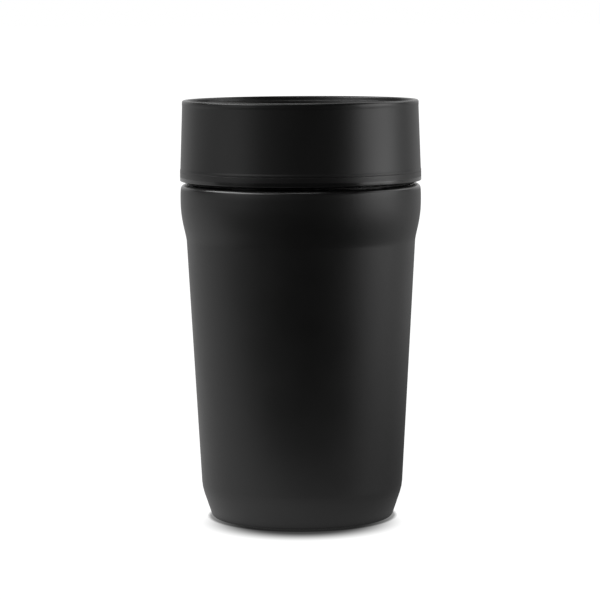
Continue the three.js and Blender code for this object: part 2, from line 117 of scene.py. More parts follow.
def sweep(start, pull_start, pull_end, end, steps=28):
    """Points along a free curve."""
    a, b, c, d = map(Vector, (start, pull_start, pull_end, end))
    points = []
    for k in range(steps + 1):
        t = k / steps
        u = 1 - t
        points.append(tuple(a * u ** 3 + b * 3 * u * u * t + c * 3 * u * t * t + d * t ** 3))
    return points


def upright(r, z_from, z_to, spacing):
    """Points up or down a straight wall, close enough together to carry fine relief."""
    steps = max(1, round(abs(z_to - z_from) / spacing))
    return [(r, z_from + (z_to - z_from) * k / steps) for k in range(steps + 1)]


# ------------------------------------------------------------------ meshes
def turned(name, outline, segments=WIDE_SEGMENTS, relief=None, sharp=HARD_EDGE):
    """A closed outline turned about Z. It may begin and end on the axis. relief(r, z, angle)
    gives the new radius of a point."""
    mesh = bmesh.new()
    loops = []
    for r, z in outline:
        if r < SAME:
            loops.append([mesh.verts.new((0, 0, z * MM))])
            continue
        loop = []
        for k in range(segments):
            angle = 2 * math.pi * k / segments
            new_r = relief(r, z, angle) if relief else r
            place = (new_r * math.cos(angle) * MM, new_r * math.sin(angle) * MM, z * MM)
            loop.append(mesh.verts.new(place))
        loops.append(loop)
    pairs = list(zip(loops, loops[1:]))
    if len(loops[0]) > 1:
        pairs.append((loops[-1], loops[0]))
    for loop, following in pairs:
        for k in range(segments):
            n = (k + 1) % segments
            if len(loop) == 1:
                mesh.faces.new((loop[0], following[k], following[n]))
            elif len(following) == 1:
                mesh.faces.new((loop[k], following[0], loop[n]))
            else:
                mesh.faces.new((loop[k], following[k], following[n], loop[n]))
    return made(name, mesh, sharp)


def shaded(data, sharp=HARD_EDGE):
    """Shades a mesh smooth, but for its hard edges."""
    data.shade_smooth()
    data.set_sharp_from_angle(angle=math.radians(sharp))


def made(name, mesh, sharp=HARD_EDGE):
    """An object from a bmesh, with its faces pointing out."""
    bmesh.ops.recalc_face_normals(mesh, faces=mesh.faces)
    data = bpy.data.meshes.new(name)
    mesh.to_mesh(data)
    mesh.free()
    shaded(data, sharp)
    piece = bpy.data.objects.new(name, data)
    bpy.context.scene.collection.objects.link(piece)
    return piece


def placed(piece, body, material, node):
    """Gives a finished piece its material and its body, and hides the CAD node that it stands for."""
    piece.data.materials.append(material)
    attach(piece, body)
    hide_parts(node)
    return piece


def ring(name, inner, outer, z_low, z_high, edge=0.2, segments=CORE_SEGMENTS):
    """A flat ring with eased edges."""
    return turned(name, rounded(
        (inner, z_low, edge), (outer, z_low, edge), (outer, z_high, edge), (inner, z_high, edge)),
        segments)


def bar(from_r, to_r, width, z_low, z_high, angle, edge=0.2):
    """A bar with eased edges that runs outwards from the axis at an angle in degrees."""
    mesh = bmesh.new()
    bmesh.ops.create_cube(mesh, size=1)
    bmesh.ops.scale(mesh, vec=(to_r - from_r, width, z_high - z_low), verts=mesh.verts)
    bmesh.ops.bevel(mesh, geom=mesh.edges[:], offset=edge, segments=2, affect="EDGES")
    bmesh.ops.translate(mesh, vec=((from_r + to_r) / 2, 0, (z_low + z_high) / 2), verts=mesh.verts)
    turn = Matrix.Rotation(math.radians(angle), 4, "Z") @ Matrix.Scale(MM, 4)
    bmesh.ops.transform(mesh, matrix=turn, verts=mesh.verts)
    return made("bar", mesh)


def combined(piece, others, operation):
    """Joins other pieces to a piece with UNION, or cuts them out of it with DIFFERENCE."""
    for other in others:
        step = piece.modifiers.new("step", "BOOLEAN")
        step.operation = operation
        step.object = other
        step.solver = "EXACT"
    shape = piece.evaluated_get(bpy.context.evaluated_depsgraph_get())
    data = bpy.data.meshes.new_from_object(shape)
    piece.modifiers.clear()
    piece.data = data
    for other in others:
        bpy.data.objects.remove(other)
    shaded(data)
    return piece


# ------------------------------------------------------------------ materials
NOISE_LOW = 0.3          # most of a noise's values lie between these two
NOISE_HIGH = 0.7


class Shader:
    """A Principled material and the nodes that feed it. They read the piece's own coordinates, in
    metres. Sizes and depths are given in millimetres."""

    def __init__(self, name, **values):
        self.material = bpy.data.materials.new(name)
        self.material.use_nodes = True
        self.tree = self.material.node_tree
        self.surface = self.tree.nodes["Principled BSDF"]
        for socket, value in values.items():
            self.surface.inputs[socket.replace("_", " ")].default_value = value
        self.place = self.tree.nodes.new("ShaderNodeTexCoord").outputs["Object"]
        self.height = None

    def node(self, kind, inputs=(), **settings):
        made_node = self.tree.nodes.new("ShaderNode" + kind)
        for key, value in settings.items():
            setattr(made_node, key, value)
        for key, value in dict(inputs).items():
            socket = made_node.inputs[key]
            if isinstance(value, bpy.types.NodeSocket):
                self.tree.links.new(value, socket)
            else:
                socket.default_value = value
        return made_node

    def stretched(self, x, y, z):
        return self.node("Mapping", {"Vector": self.place, "Scale": (x, y, z)}).outputs["Vector"]

    def noise(self, size, detail=2.0, vector=None, roughness=0.5):
        """Noise whose features are about size millimetres across."""
        return self.node("TexNoise", {
            "Vector": vector or self.place, "Scale": 1 / (size * MM), "Detail": detail,
            "Roughness": roughness}).outputs["Fac"]

    def spots(self, size):
        """Distance to the nearest of scattered points about size millimetres apart."""
        return self.node("TexVoronoi", {
            "Vector": self.place, "Scale": 1 / (size * MM)}).outputs["Distance"]

    def along(self, axis):
        """The coordinate along one axis, in metres."""
        return self.node("SeparateXYZ", {"Vector": self.place}).outputs[axis]

    def ramp(self, factor, stops):
        ramp = self.node("ValToRGB", {"Fac": factor})
        elements = ramp.color_ramp.elements
        while len(elements) < len(stops):
            elements.new(0.5)
        for element, (position, color) in zip(elements, stops):
            element.position = position
            element.color = (*color, 1) if isinstance(color, tuple) else (color, color, color, 1)
        return ramp.outputs["Color"]

    def between(self, factor, low_value, high_value, from_low=0.0, from_high=1.0):
        return self.node("MapRange", {
            "Value": factor, "From Min": from_low, "From Max": from_high,
            "To Min": low_value, "To Max": high_value}).outputs["Result"]

    def tinted(self, noise, first, second):
        """Colours that run from the first to the second over a noise's values."""
        return self.ramp(noise, [(NOISE_LOW, first), (NOISE_HIGH, second)])

    def spread(self, noise, low_value, high_value):
        """Values that run from low to high over a noise's values."""
        return self.between(noise, low_value, high_value, NOISE_LOW, NOISE_HIGH)

    def math(self, operation, a, b=0.0):
        return self.node("Math", {0: a, 1: b}, operation=operation).outputs["Value"]

    def color(self, socket):
        self.tree.links.new(socket, self.surface.inputs["Base Color"])

    def rough(self, socket):
        self.tree.links.new(socket, self.surface.inputs["Roughness"])

    def bump(self, height, depth):
        """Adds relief of the given depth in millimetres."""
        inputs = {"Height": height, "Distance": depth * MM, "Strength": 1.0}
        if self.height:
            inputs["Normal"] = self.height
        self.height = self.node("Bump", inputs).outputs["Normal"]
        self.tree.links.new(self.height, self.surface.inputs["Normal"])


POLISH = 0.55            # roughness that polishing leaves, as a part of the texture's
FLOWED = 0.48            # roughness where the coat flowed together, as a part of the rest's
FLOW_START_Z = 120.6
FLOW_END_Z = 121.8


def powder_coat():
    """Matte black powder coat: melted grains that leave a fine orange peel, smoother where they
    flowed together over the rim's edge."""
    s = Shader("powder_coat", Specular_IOR_Level=0.5)
    cloud = s.noise(14, 3)
    s.color(s.tinted(cloud, 0.0115, 0.0135))
    grain = s.noise(0.45, 3, roughness=0.6)
    flowed = s.between(s.along("Z"), 1.0, FLOWED, FLOW_START_Z * MM, FLOW_END_Z * MM)
    peel = s.between(s.math("ADD", grain, s.math("MULTIPLY", cloud, 0.5)), 0.40, 0.50, 0.45, 1.05)
    s.rough(s.math("MULTIPLY", peel, flowed))
    s.bump(s.noise(1.3, 2), 0.012)
    s.bump(grain, 0.008)
    return s.material


def spark_plastic(name, shade, gloss, spark_depth, polish=None):
    """Moulded black polypropylene. The mould's spark texture sets how far its sheen spreads.
    polish is a pair of heights in millimetres: rough at the first, polished at the second."""
    s = Shader(name, Specular_IOR_Level=0.5)
    flow = s.noise(18, 2, s.stretched(1, 1, 0.4))
    s.color(s.tinted(flow, shade * 0.92, shade * 1.1))
    spark = s.noise(0.45, 4, roughness=0.7)
    texture = s.between(s.math("ADD", spark, s.math("MULTIPLY", flow, 0.4)),
                        gloss - 0.04, gloss + 0.05, 0.4, 1.0)
    if polish:
        rough_z, polished_z = polish
        texture = s.math("MULTIPLY", texture,
                         s.between(s.along("Z"), 1.0, POLISH, rough_z * MM, polished_z * MM))
    s.rough(texture)
    s.bump(s.noise(2.6, 1), 0.006)
    s.bump(spark, spark_depth)
    return s.material


def turned_steel(name, shade, roughness, groove=0.16):
    """Stainless steel finished on a lathe: fine rings round the axis, and faint stains."""
    s = Shader(name, Metallic=1.0)
    rings = s.noise(groove, 2, s.stretched(0.015, 0.015, 1))
    stain = s.noise(9, 4)
    s.color(s.ramp(stain, [(0.25, shade * 0.9), (0.75, shade)]))
    s.rough(s.between(s.math("ADD", rings, s.math("MULTIPLY", stain, 0.6)),
                      roughness - 0.07, roughness + 0.09, 0.5, 1.1))
    s.bump(rings, 0.003)
    return s.material


def drawn_steel():
    """Bright fasteners and spring wire."""
    s = Shader("drawn_steel", Metallic=1.0)
    scratch = s.noise(0.5, 4, roughness=0.7)
    s.color(s.tinted(scratch, 0.55, 0.7))
    s.rough(s.spread(scratch, 0.16, 0.34))
    s.bump(scratch, 0.002)
    return s.material


def silicone(name, base, deep, roughness):
    """Silicone rubber: a soft bloom of dust on a fine matte skin."""
    s = Shader(name, Specular_IOR_Level=0.4)
    bloom = s.noise(5, 4)
    s.color(s.tinted(bloom, deep, base))
    skin = s.noise(0.25, 2)
    s.rough(s.spread(skin, roughness - 0.06, roughness + 0.06))
    s.bump(skin, 0.004)
    return s.material


def clear_silicone():
    """Milky silicone that lets a little light in."""
    s = Shader("clear_silicone", Specular_IOR_Level=0.45, Subsurface_Weight=0.35,
               Subsurface_Scale=0.002)
    cloud = s.noise(4, 3)
    s.color(s.tinted(cloud, (0.46, 0.47, 0.46), (0.56, 0.57, 0.55)))
    skin = s.noise(0.3, 2)
    s.rough(s.spread(skin, 0.38, 0.52))
    s.bump(skin, 0.003)
    return s.material


def acetal():
    """Waxy white bearing plastic, yellowed a little in clouds."""
    s = Shader("acetal", Specular_IOR_Level=0.5, Subsurface_Weight=0.2, Subsurface_Scale=0.001)
    cloud = s.noise(3, 3)
    s.color(s.tinted(cloud, (0.7, 0.7, 0.65), (0.78, 0.78, 0.74)))
    marks = s.noise(0.4, 3, s.stretched(0.1, 0.1, 1))
    s.rough(s.spread(marks, 0.28, 0.42))
    s.bump(marks, 0.003)
    return s.material


def copper_foil():
    """Thin foil, crumpled by being wrapped by hand."""
    s = Shader("copper_foil", Metallic=1.0)
    crumple = s.spots(6)
    s.color(s.tinted(s.noise(7, 4), (0.62, 0.3, 0.18), (0.78, 0.42, 0.28)))
    s.rough(s.between(crumple, 0.18, 0.34))
    s.bump(crumple, 0.25)
    s.bump(s.noise(1.2, 3), 0.04)
    return s.material


def solder():
    """Dull solder with a frosted skin."""
    s = Shader("solder", Metallic=1.0)
    frost = s.noise(0.6, 4)
    s.color(s.tinted(frost, 0.26, 0.38))
    s.rough(s.spread(frost, 0.3, 0.5))
    s.bump(frost, 0.01)
    return s.material


COAT = powder_coat()
COLLAR_PLASTIC = spark_plastic("collar_plastic", 0.0115, 0.42, 0.009, (151.6, 153))
BASE_PLASTIC = spark_plastic("base_plastic", 0.0115, 0.42, 0.003, (125.4, 124.9))
INNER_PLASTIC = spark_plastic("inner_plastic", 0.022, 0.45, 0.006)
LINER_STEEL = turned_steel("liner_steel", 0.6, 0.27)
CAP_STEEL = turned_steel("cap_steel", 0.55, 0.32)
DRAWN_STEEL = drawn_steel()
BLACK_SILICONE = silicone("black_silicone", 0.015, 0.010, 0.62)
CLEAR_SILICONE = clear_silicone()
ACETAL = acetal()
COPPER_FOIL = copper_foil()
SOLDER = solder()


# ------------------------------------------------------------------ the cup
FOOT_SLOPE = 0.34        # radius for height on the foot's chamfer
CONE_SLOPE = 0.0546      # radius for height on the cup's side
CONE_FOOT_R = 36.19      # where the side's cone would meet the floor
SHEET = 0.5              # thickness of the steel
VACUUM = 2.6             # between the two walls
CONE_HIGH = 101.4        # where the straight side ends and the shoulder begins
WIDEST_Z = 116.5         # widest place of the shoulder

SHELL_FOOT = low("outer_shell")
CUP_RIM = top("outer_shell")
SHOULDER_R = reach("outer_shell")
LIP_R = 41.4             # where the shell meets the liner's lip
FOOT_OPENING = 30.9
MOUTH_R = 40.6


def cone_r(z):
    return CONE_FOOT_R + CONE_SLOPE * z


def outer_shell():
    """The powder-coated wall. The first and last corners of side and crown only set directions,
    and are dropped."""
    foot_r = 33.04
    chamfer_top = 11.03

    def side(inset):
        base = SHELL_FOOT + inset
        return rounded(
            (FOOT_OPENING - inset, base),
            (foot_r + FOOT_SLOPE * base - inset, base, 1.4 - inset),
            (cone_r(chamfer_top) - inset, chamfer_top, 15.5),
            (cone_r(60) - inset, 60))[1:-1]

    def shoulder(inset):
        r = SHOULDER_R - inset
        curve = sweep((cone_r(CONE_HIGH) - inset, CONE_HIGH),
                      (cone_r(CONE_HIGH + 3.2) - inset, CONE_HIGH + 3.2),
                      (r, 108.8), (r, WIDEST_Z))
        rim = CUP_RIM - inset
        crown = rounded((r, WIDEST_Z), (r, rim - 3, 14), (r - 0.28, rim, 1.8 - inset), (r - 6, rim))
        return curve + crown[1:-1]

    outside = side(0) + shoulder(0)
    inside = side(SHEET) + shoulder(SHEET)
    outline = rounded(outside, (LIP_R, CUP_RIM), (LIP_R, CUP_RIM - SHEET), inside[::-1],
                      (FOOT_OPENING, SHELL_FOOT + SHEET), (FOOT_OPENING, SHELL_FOOT))
    return turned("cup_shell", outline)


# ------------------------------------------------------------------ the screw thread
THREAD_LEAD = 18
THREAD_STARTS = 3
RIDGE_ARC = 100          # degrees that one ridge runs
RIDGE_RUNOUT = 20        # degrees over which it fades at each end
RIDGE_CREST = 0.8        # half of its width at the crest
RIDGE_ROOT = 1.4         # half of its width at the wall
THREAD_ROWS = 0.12       # between the rows of points that carry the ridges
LID_RIDGE_Z = 111.9      # middle of a lid ridge at its lower end
CUP_RIDGE_Z = LID_RIDGE_Z + 2.65
NECK_R = 38.6            # outside of the lid's neck, under its thread


def eased(x):
    """0 below 0, 1 above 1, and smooth between."""
    x = min(1, max(0, x))
    return x * x * (3 - 2 * x)


def thread_relief(wall_r, crest_r, first_z):
    """Relief that raises the wall at one radius into the ridges of a screw thread."""
    def relief(r, z, angle):
        if abs(r - wall_r) > ON_WALL:
            return r
        height = 0
        for start in range(THREAD_STARTS):
            along = (math.degrees(angle) - start * 360 / THREAD_STARTS) % 360
            if along > RIDGE_ARC:
                continue
            middle_z = first_z + THREAD_LEAD * along / 360
            side = eased((RIDGE_ROOT - abs(z - middle_z)) / (RIDGE_ROOT - RIDGE_CREST))
            end = eased(min(along, RIDGE_ARC - along) / RIDGE_RUNOUT)
            height = max(height, side * end)
        return r + (crest_r - wall_r) * height
    return relief


# ------------------------------------------------------------------ the lid's outside
COLLAR_FOOT = low("drinking_collar")
RIM = top("drinking_collar")
BAND_R = 43.96
FLARE_Z = 128            # the drum widens a little above the seam
DRUM_TOP_R = 43.02
THROAT_R = 36.8
COLLAR_WALL = 1.6
SEAM_SHUT = 0.26         # the drum's foot comes this much lower, which leaves the seam a fine line
BAND_CORNER = 0.06       # radius of the two edges that meet at the seam


def drinking_collar():
    """The drum: a full rim to drink from, a dish that slopes down to the throat, and a hollow
    between the two walls."""
    foot = COLLAR_FOOT - SEAM_SHUT
    hollow_r = THROAT_R + COLLAR_WALL
    outside = [(BAND_R, foot, BAND_CORNER), (BAND_R, FLARE_Z - 0.3, 0.8),
               (BAND_R - 0.14, FLARE_Z + 0.3, 1.2), (DRUM_TOP_R, 150.7, 0.6),
               (DRUM_TOP_R + 0.05, 151.5, 0.6)]
    lip = [(DRUM_TOP_R, RIM, 0.9), (41.45, RIM, 0.7), (41.2, 151.4, 0.25), (40.85, 151.2, 0.3)]
    dish = [(39.85, 144.5, 30), (39.3, 139.6, 9), (38.6, 137.4, 2), (THROAT_R, 135, 1.2)]
    throat_foot = [(THROAT_R, COLLAR_FOOT, 0.3), (hollow_r, COLLAR_FOOT, 0.3)]
    hollow = [(hollow_r, 134.2, 1), (40.2, 136.8, 2), (40.9, 139.6, 6), (41.5, 145.2, 0.1),
              (41.65, 145.2, 0.1), (BAND_R - COLLAR_WALL, foot, 0.3)]
    return turned("collar_drum", rounded(outside, lip, dish, throat_foot, hollow))


def threaded_base():
    """The band under the seam, and the neck with its thread."""
    seam = COLLAR_FOOT - GAP
    foot = low("threaded_base")
    band_foot = 123.15
    gasket_ceiling = 124.5
    spigot_in = 39.2
    spigot_out = spigot_in + 1.4
    spigot_top = seam + 4.2
    groove_in = 37.1
    groove_floor = seam - 1.25
    bore = 36.4
    band = [(42, band_foot, 0.3), (reach("threaded_base"), 123.8, 0.3), (BAND_R, seam, BAND_CORNER)]
    spigot = [(spigot_out, seam, 0.2), (spigot_out, spigot_top, 0.5), (spigot_in, spigot_top, 0.3)]
    groove = [(spigot_in, groove_floor, 0.2), (groove_in, groove_floor, 0.2), (groove_in, seam, 0.2)]
    neck = [(bore, seam, 0.3), (bore, foot + 0.4), (bore + 0.4, foot), (38, foot, 0.3),
            *upright(NECK_R, foot + 0.6, gasket_ceiling, THREAD_ROWS)]
    gasket_seat = [(41.6, gasket_ceiling, 0.15), (41.6, band_foot, 0.2)]
    return turned("lid_base", rounded(band, spigot, groove, neck, gasket_seat),
                  relief=thread_relief(NECK_R, 40.2, LID_RIDGE_Z))


def neck_gasket():
    """Silicone ring with two sealing beads on its lower face."""
    base = low("neck_gasket")
    ceiling = top("neck_gasket")
    outer = reach("neck_gasket")
    inner = NECK_R + GAP
    return turned("gasket_ring", rounded(
        (inner, base, 0.2), (inner + 0.5, base, 0.1), (inner + 0.7, base + 0.25, 0.1),
        (inner + 1.0, base + 0.25, 0.1), (inner + 1.2, base, 0.1), (inner + 1.7, base, 0.1),
        (inner + 1.9, base + 0.25, 0.1), (inner + 2.1, base + 0.25, 0.1), (outer, base, 0.2),
        (outer, ceiling - 0.4, 0.3), (outer - 0.5, ceiling, 0.3), (inner, ceiling, 0.2)))


# ------------------------------------------------------------------ inside the cup
LINER_FLOOR = 9          # height of the drink's floor
LINER_CORNER_R = 25
LINER_CORNER_TOP = 17


def liner_side(z):
    """Radius that holds the drink, where the liner follows the shell's cone."""
    return cone_r(z) - 2 * SHEET - VACUUM


def inner_liner():
    """The steel that holds the drink, with the thread rolled into its neck."""
    def wall(offset):
        floor = LINER_FLOOR - offset
        corner = liner_side(floor) + offset
        end = liner_side(LINER_CORNER_TOP) + offset
        neck = MOUTH_R + offset
        return ([(0, floor)]
                + sweep((LINER_CORNER_R, floor), ((LINER_CORNER_R + 2 * corner) / 3, floor),
                        ((end + 2 * corner) / 3, (LINER_CORNER_TOP + 2 * floor) / 3),
                        (end, LINER_CORNER_TOP), 14)
                + sweep((liner_side(99.5) + offset, 99.5), (liner_side(102.5) + offset, 102.5),
                        (neck, 103.5), (neck, 108.5)))

    inside = wall(0) + upright(MOUTH_R, 108.8, CUP_RIM - 0.5, THREAD_ROWS)
    outline = rounded(inside, (MOUTH_R, CUP_RIM, 0.3), (MOUTH_R + SHEET, CUP_RIM, 0.1),
                      wall(SHEET)[::-1])
    return turned("cup_liner", outline, relief=thread_relief(MOUTH_R, 39.05, CUP_RIDGE_Z))


CAP_Z = low("base_cap")
DIMPLE_R = 7
DIMPLE_RISE = 1.2
PORT_R = 1.3


def base_cap():
    """The disc that closes the foot, pressed up in the middle round the evacuation port."""
    top_z = CAP_Z + SHEET
    edge = FOOT_OPENING + 0.5
    return turned("foot_cap", rounded(
        (PORT_R, CAP_Z + DIMPLE_RISE, 0.1), (DIMPLE_R - 1, CAP_Z + DIMPLE_RISE, 0.8),
        (DIMPLE_R, CAP_Z, 0.5), (edge, CAP_Z, 0.4), (edge + SHEET, top_z, 0.1),
        (DIMPLE_R, top_z, 0.9), (DIMPLE_R - 1, top_z + DIMPLE_RISE, 0.5),
        (PORT_R, top_z + DIMPLE_RISE, 0.1)))


def vacuum_port_plug():
    """A bead drawn up into the port as it set."""
    top_z = top("vacuum_port_plug")
    shoulder = CAP_Z + DIMPLE_RISE - GAP
    stem = PORT_R - GAP
    return turned("port_bead", rounded(
        (0, CAP_Z), (2.5, CAP_Z, 0.5), (2.8, shoulder, 0.4), (stem, shoulder, 0.2),
        (stem, top_z, 0.5), (0, top_z)), CORE_SEGMENTS)


def foot_pad():
    """Silicone pad with grip rings and one deeper groove."""
    edge = reach("foot_pad")
    ceiling = top("foot_pad")
    grip_depth = 0.28
    deep = 0.4
    grooves = []
    for r in range(6, 22, 3):
        grooves += [(r - 0.5, 0, 0.15), (r - 0.25, grip_depth, 0.1),
                    (r + 0.25, grip_depth, 0.1), (r + 0.5, 0, 0.15)]
    return turned("foot_ring", rounded(
        (0, 0), grooves, (24, 0, 0.2), (24.5, deep, 0.15), (25.5, deep, 0.15), (26, 0, 0.2),
        (edge, 0, 0.3), (edge, ceiling, 0.1), (0, ceiling)))


def getter_pellet():
    """A tablet with a shallow recess in its lower face."""
    r = reach("getter_pellet")
    z = low("getter_pellet")
    return turned("getter_tablet", rounded(
        (0, z + 0.2), (r - 1.6, z + 0.2, 0.3), (r - 1.2, z, 0.2), (r, z, 0.3),
        (r, top("getter_pellet"), 0.3), (0, top("getter_pellet"))), CORE_SEGMENTS)


def getter_clip():
    """The pressed ring that holds the tablet, with a narrow ledge under it."""
    z = low("getter_clip")
    bore = reach("getter_clip") - SHEET
    ceiling = top("getter_clip")
    return turned("getter_cup", rounded(
        (bore - 1.2, z, 0.1), (bore + SHEET, z, 0.45), (bore + SHEET, ceiling, 0.1),
        (bore, ceiling, 0.1), (bore, z + SHEET, 0.2), (bore - 1.2, z + SHEET, 0.1)), CORE_SEGMENTS)


def foil_wrap():
    """Foil round the liner, creased where it was smoothed down by hand."""
    z_low = low("foil_wrap")
    z_high = top("foil_wrap")
    off_shell = SHEET + VACUUM - 0.4
    thickness = 0.3

    def creased(r, z, angle):
        wave = math.sin(9 * angle + 0.21 * z) * math.sin(0.37 * z - 4 * angle)
        fold = max(0, math.sin(23 * angle - 0.11 * z)) ** 6
        return r + 0.12 * wave + 0.22 * fold

    outside = [(cone_r(z) - off_shell + thickness, z) for _, z in upright(0, z_high, z_low, 1.5)]
    inside = [(r - thickness, z) for r, z in outside[::-1]]
    return turned("foil_jacket", outside + inside, relief=creased, sharp=180)


# ------------------------------------------------------------------ the push valve
STEM_R = 3
SOCKET_R = STEM_R + GAP
SCREW_BORE_R = 1.8       # of the holes that the screws pass through
SCREW_HEAD = 1.7         # height of a screw's head
SCREW_HEAD_R = 2.8
SCREW_SHANK_R = 1.2
SCREW_DEPTH = 10         # of the screw holes in the stem


def push_plate():
    """The dished plate under the rim, with a seat for the thumb pad and ribs below."""
    ceiling = top("push_plate")
    edge = reach("push_plate")
    boss = 6
    web = top("valve_stem") + GAP
    boss_foot = web - 2.8
    underside = 145.6
    skirt_foot = 144.4
    pad_floor = 146.6
    below = [(SCREW_BORE_R, web), (SOCKET_R, web), (SOCKET_R, boss_foot, 0.2),
             (boss, boss_foot, 0.3), (boss, underside, 0.6), (35, underside, 0.5)]
    skirt = [(35.4, skirt_foot, 0.2), (36.4, skirt_foot, 0.3), (edge, 145.2, 0.4)]
    dish = [(edge, 147.1, 1.2), (34.6, 147.35, 4), (24, 147.2, 60), (13.6, ceiling, 0.8)]
    pad_seat = [(12.8, ceiling, 0.2), (12.8, pad_floor, 0.1), (SOCKET_R, pad_floor, 0.2),
                (SOCKET_R, web + 1.4), (SCREW_BORE_R, web + 1.4)]
    plate = turned("press_plate", rounded(below, skirt, dish, pad_seat))
    ribs = [bar(boss - 0.8, 34, 1.4, 143.6, 145.9, 60 * k, 0.15) for k in range(6)]
    return combined(plate, ribs, "UNION")


def thumb_pad():
    """Soft inlay with rings that stop the thumb slipping."""
    z_low = low("thumb_pad")
    z_high = top("thumb_pad")
    edge = reach("thumb_pad")
    rows = 71
    row = 0.15
    dish = 0.3
    ring_pitch = 1.5
    ring_height = 0.16

    def surface(r):
        bowl = z_high - dish * (1 - (r / edge) ** 2)
        return bowl - ring_height * 0.5 * (1 - math.cos(2 * math.pi * r / ring_pitch))

    rings = [(row * k, surface(row * k)) for k in range(rows, -1, -1)]
    return turned("thumb_inlay", rounded(
        (0, z_low), (edge, z_low, 0.1), (edge, z_high, 0.5), (11.4, z_high, 0.3), rings),
        CORE_SEGMENTS)


def stem_screw(name, seat_z, direction):
    """A pan-head screw with a cross recess. Its shank runs from seat_z by the sign of direction."""
    tip = seat_z + direction * 9.5
    crown = seat_z - direction * SCREW_HEAD
    slot_reach = 1.55
    slot_width = 0.62
    screw = turned(name, rounded(
        (0, tip), (SCREW_SHANK_R * 0.4, tip), (SCREW_SHANK_R, tip - direction * 1.2),
        (SCREW_SHANK_R, seat_z), (SCREW_HEAD_R, seat_z, 0.15), (SCREW_HEAD_R, crown, 0.9),
        (0, crown)), 64)
    depth = sorted((crown - direction * 0.3, crown + direction * 0.95))
    cross = [bar(-slot_reach, slot_reach, slot_width, *depth, angle, 0.08) for angle in (45, 135)]
    return combined(screw, cross, "DIFFERENCE")


def valve_stem():
    """The rod between plate and disc, with a screw hole in each end and a collar."""
    foot = low("valve_stem")
    ceiling = top("valve_stem")
    pilot = SCREW_SHANK_R + 0.35
    collar = 133.7
    collar_r = reach("valve_stem")
    return turned("stem_rod", rounded(
        (0, foot + SCREW_DEPTH), (pilot, foot + SCREW_DEPTH), (pilot, foot, 0.1),
        (STEM_R, foot, 0.3), (STEM_R, collar, 0.2), (collar_r, collar, 0.15),
        (collar_r, collar + 1, 0.3), (STEM_R, collar + 1, 0.4), (STEM_R, ceiling, 0.3),
        (pilot, ceiling, 0.1), (pilot, ceiling - SCREW_DEPTH), (0, ceiling - SCREW_DEPTH)),
        CORE_SEGMENTS)


def valve_disc():
    """The disc that shuts the lid from below, stiffened by two shallow moulded rings."""
    z = low("valve_disc")
    edge = reach("valve_disc")
    hub = top("valve_disc")
    hollow = z + 0.35
    rings = []
    for r in (11, 25):
        rings += [(r, z, 0.2), (r + 0.4, hollow, 0.2), (r + 2, hollow, 0.2), (r + 2.4, z, 0.2)]
    return turned("seal_disc", rounded(
        (SCREW_BORE_R, z, 0.1), rings, (edge, z, 0.4), (edge, z + 2, 0.4), (6.4, z + 2, 0.8),
        (5.4, hub, 0.4), (SOCKET_R, hub, 0.2), (SOCKET_R, z + 1.4), (SCREW_BORE_R, z + 1.4)))


def valve_seal():
    """Silicone gripped on the disc's edge, with a bead that meets the seat."""
    z = low("valve_seal")
    ceiling = top("valve_seal")
    edge = reach("valve_seal")
    grip = low("valve_disc") - GAP
    wall = reach("valve_disc") + GAP
    return turned("disc_gasket", rounded(
        (32.6, z, 0.3), (edge, z, 0.5), (edge, ceiling - 0.8, 0.3), (edge - 0.5, ceiling, 0.25),
        (edge - 1.1, ceiling - 0.1, 0.2), (edge - 1.7, ceiling - 0.35, 0.3),
        (edge - 2.6, ceiling - 0.35, 0.3), (31.9, ceiling, 0.3), (31.4, ceiling - 0.1, 0.2),
        (31.4, grip + 2.6, 0.1), (wall, grip + 2.6, 0.1), (wall, grip, 0.1), (32.6, grip, 0.1)))


def valve_cage():
    """The ring that the valve closes against, and four spokes that carry a hub."""
    z = low("valve_cage")
    hub = 10.2
    seat = ring("seat_cage", 30.3, reach("valve_cage"), z, 109.6, 0.4, WIDE_SEGMENTS)
    middle = ring("hub", hub, hub + 1.8, z + 0.6, top("valve_cage"), 0.3)
    spokes = [bar(hub + 1, 31.3, 2.6, z + 0.4, 112.2, 45 + 90 * k, 0.4) for k in range(4)]
    return combined(seat, [middle, *spokes], "UNION")


def latch_housing():
    """The tube in the hub that guides the stem and holds the spring and the latch."""
    z = low("latch_housing")
    ceiling = top("latch_housing")
    wall = 9.9
    flange = 113.9
    return turned("latch_tube", rounded(
        (5.7, z, 0.2), (wall, z, 0.4), (wall, flange), (reach("latch_housing"), flange, 0.2),
        (reach("latch_housing"), flange + 1.2, 0.4), (wall, flange + 1.2, 0.5),
        (wall, ceiling, 0.4), (8.4, ceiling, 0.3), (8.4, 123.6, 0.1), (6.4, 123.6, 0.3),
        (6.4, 111.6, 0.2), (3.4, 111.6, 0.2), (3.4, 109.6, 0.2), (5.7, 109.6, 0.1)), CORE_SEGMENTS)


# ------------------------------------------------------------------ the latch and its spring
LATCH_TOP = 131.5        # height of the latch lugs when the valve is shut
STROKE = 4.6
LATCH_PERIOD = 90        # degrees, one step of the cam for each lug


def cam_sleeve():
    """A sleeve with the zigzag track that turns the rotor an eighth of a turn for each press."""
    bore = 5.9
    track_depth = 1.3
    half_width = 1.9
    track_edge = 0.35

    def track(r, z, angle):
        if abs(r - bore) > ON_WALL:
            return r
        phase = math.degrees(angle) % LATCH_PERIOD / LATCH_PERIOD
        middle_z = LATCH_TOP - STROKE * (1 - abs(1 - 2 * phase))
        return r + track_depth * eased((half_width - abs(z - middle_z)) / track_edge)

    z = low("cam_sleeve")
    ceiling = top("cam_sleeve")
    flange = ceiling - 1
    return turned("cam_bush", rounded(
        (8.1, z, 0.4), (8.1, flange, 0.1), (reach("cam_sleeve"), flange, 0.2),
        (reach("cam_sleeve"), ceiling, 0.3), upright(bore, ceiling, z, 0.17)),
        192, relief=track)


